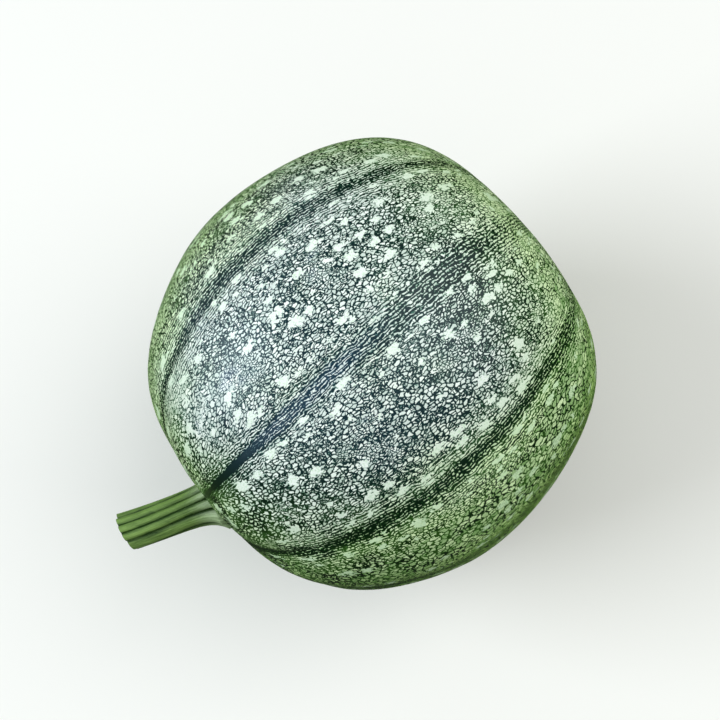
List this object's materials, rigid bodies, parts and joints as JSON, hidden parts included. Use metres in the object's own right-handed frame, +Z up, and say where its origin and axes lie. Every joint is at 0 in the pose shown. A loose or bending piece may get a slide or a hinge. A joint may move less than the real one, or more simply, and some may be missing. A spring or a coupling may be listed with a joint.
{
  "type": "round zucchini",
  "caption": "Large round summer squash lying on its side, shallowly ribbed, with its ridged cut stem; netted green and white skin.",
  "frame": {"origin": "on the flat ground spot, straight under the widest ring of the fruit", "axes": "+X along the fruit's own axis from the stem end to the blossom end, +Z up, +Y completes the right-handed frame"},
  "size_m": [0.1864, 0.1602, 0.1597],
  "materials": {
    "rind": "waxy satin skin, white-green net cells on blue-green and yellow-green ground",
    "stem_skin": "dull, ridged, pale grey-green ridges over darker grooves"
  },
  "bodies": {
    "root": {"fruit": "rind", "peduncle": "stem_skin"}
  },
  "joints": []
}
